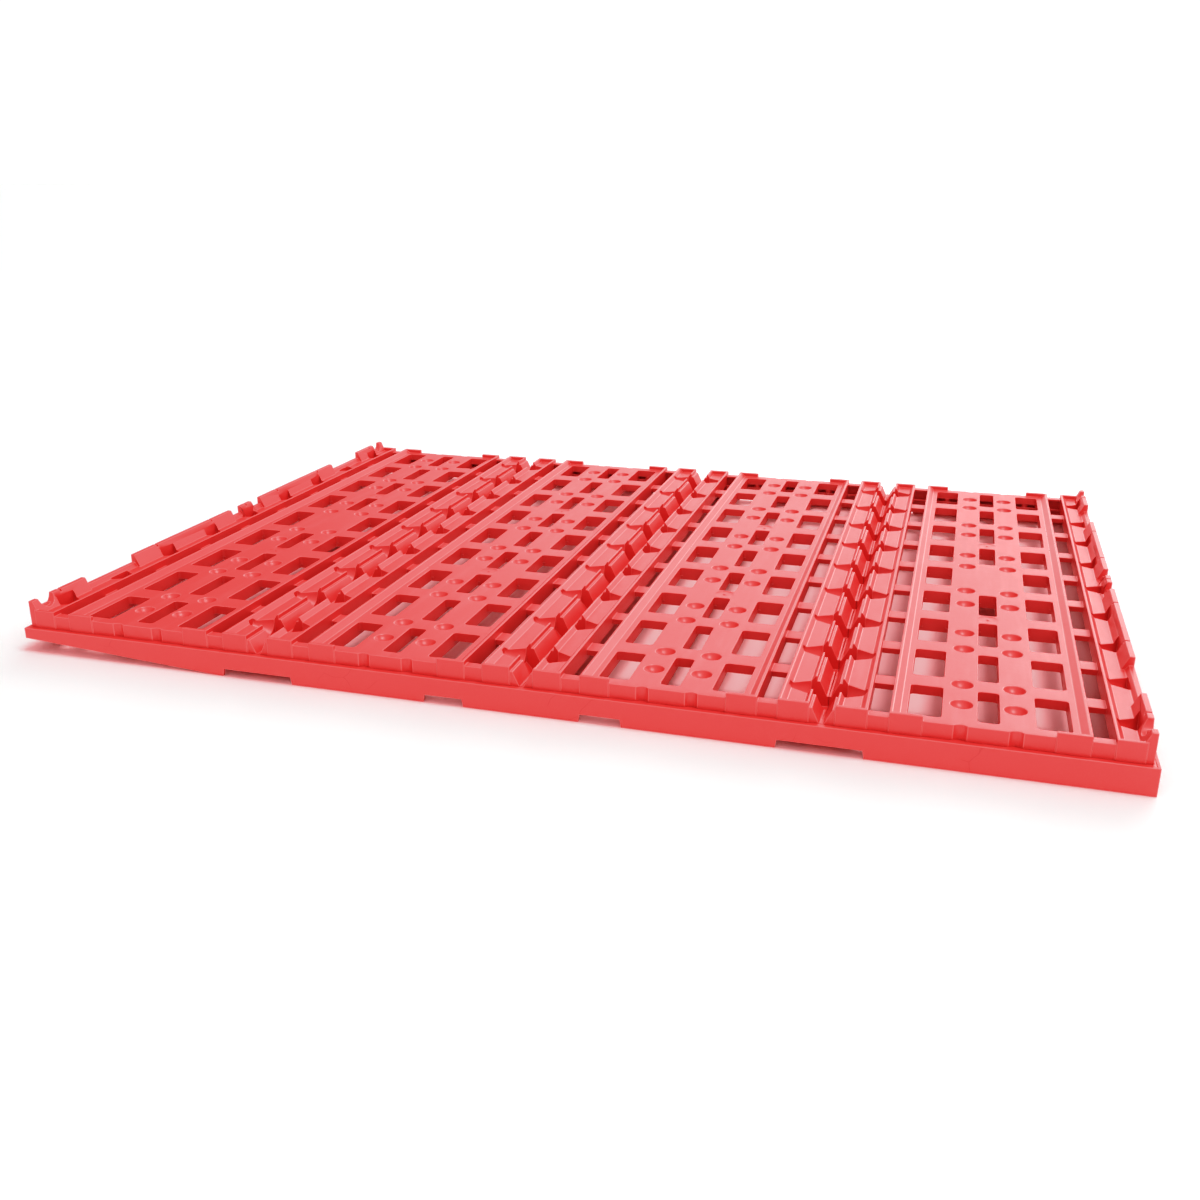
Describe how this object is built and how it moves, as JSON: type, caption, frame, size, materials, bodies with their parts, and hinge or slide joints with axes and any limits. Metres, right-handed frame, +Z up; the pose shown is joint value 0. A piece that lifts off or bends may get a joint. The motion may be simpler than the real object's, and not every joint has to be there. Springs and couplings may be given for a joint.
{
  "type": "egg tray layer divider",
  "caption": "Rigid slatted plastic layer divider for stacks of egg trays: slotted bays with V-grooves and pockets, on a skirted frame.",
  "frame": {"origin": "middle of the footprint, on the floor", "axes": "+X along the four bays (the longest way), +Y from the front skirt to the back skirt, +Z up"},
  "size_m": [1.216, 0.914, 0.0593],
  "materials": {
    "deck": "satin injection-moulded coral-red plastic",
    "skirt": "satin injection-moulded coral-red plastic",
    "rivet": "satin moulded plastic"
  },
  "bodies": {
    "root": {"deck_panel_1": "deck", "deck_panel_2": "deck", "deck_panel_3": "deck", "deck_panel_4": "deck", "skirt_front": "skirt", "skirt_back": "skirt", "skirt_left": "skirt", "skirt_right": "skirt", "seam_bearer_1": "skirt", "seam_bearer_2": "skirt", "seam_bearer_3": "skirt", "panel_rivets": "rivet"}
  },
  "joints": []
}
